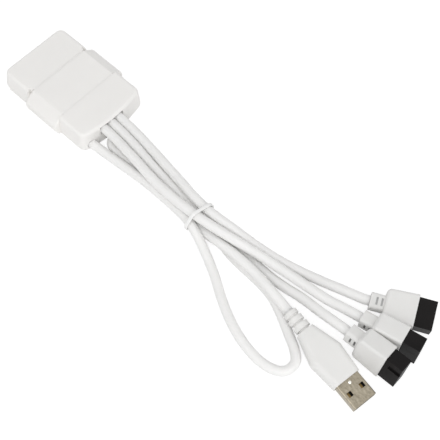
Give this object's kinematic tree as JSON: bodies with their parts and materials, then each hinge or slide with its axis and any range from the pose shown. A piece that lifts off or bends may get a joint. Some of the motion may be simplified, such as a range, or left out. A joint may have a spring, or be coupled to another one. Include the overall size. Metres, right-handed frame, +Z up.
{
  "type": "internal usb hub",
  "caption": "Flat white internal USB hub with round white leads to black keyed header sockets and a metal plug, the longest lead looped and tied.",
  "frame": {"origin": "centre of the hub casing on the surface it rests on", "axes": "+X along the hub towards its leads, +Z up from the resting surface"},
  "size_m": [0.2422, 0.0747, 0.0174],
  "materials": {
    "casing": "satin white",
    "jacket": "soft satin white",
    "mould": "satin white",
    "tie": "matt white",
    "socket": "satin black",
    "insulator": "matt white",
    "shell": "nickel plated",
    "gold": "plated",
    "board": "solder mask",
    "chip": "matt black",
    "tinned": "tinned",
    "can": "plain"
  },
  "bodies": {
    "root": {"rear_housing": "casing", "sleeve": "casing", "front_housing": "casing", "circuit_board": "board", "hub_chip": "chip", "chip_leads": "tinned", "crystal": "tinned", "capacitors": "can", "cord_bar": "casing", "header_lead_1": "jacket", "header_lead_2": "jacket", "header_lead_3": "jacket", "usb_lead": "jacket", "bundle_tie": "tie", "plug_body": "mould", "plug_shell": "shell", "plug_tongue": "insulator", "plug_contacts": "gold", "header_boot_1": "mould", "header_housing_1": "socket", "header_contacts_1": "gold", "header_boot_2": "mould", "header_housing_2": "socket", "header_contacts_2": "gold", "header_boot_3": "mould", "header_housing_3": "socket", "header_contacts_3": "gold"}
  },
  "joints": []
}
